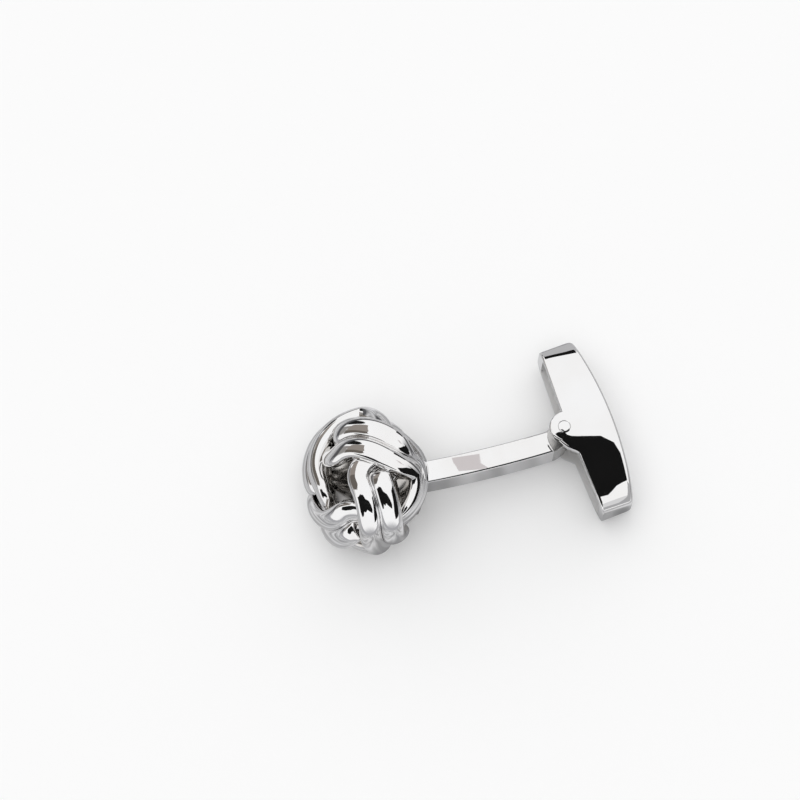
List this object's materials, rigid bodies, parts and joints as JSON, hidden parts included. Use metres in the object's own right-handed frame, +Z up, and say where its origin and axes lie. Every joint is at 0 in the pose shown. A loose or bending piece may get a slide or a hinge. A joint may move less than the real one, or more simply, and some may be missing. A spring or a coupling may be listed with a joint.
{
  "type": "knot cufflink",
  "caption": "Cufflink with a woven knot head of interlocked double-strand rings, a gently bent bar post and a hollow swivel toggle on a hinge pin.",
  "frame": {"origin": "centre of the bounding box at the surface that it rests on", "axes": "+X from the knot to the toggle, +Z up as it lies, +Y along the toggle"},
  "size_m": [0.0282, 0.0158, 0.0111],
  "materials": {
    "silver_finish": "mirror polish"
  },
  "bodies": {
    "head": {"knot": "silver_finish", "post": "silver_finish"},
    "toggle": {"toggle": "silver_finish", "hinge_pin": "silver_finish"}
  },
  "joints": [
    {"name": "toggle_hinge", "type": "hinge", "parent": "head", "child": "toggle", "pos_m": [0.00938, 0.00045, 0.00318], "axis": [0.1238, 0.0068, 0.9923], "range_deg": [0, 85]}
  ]
}
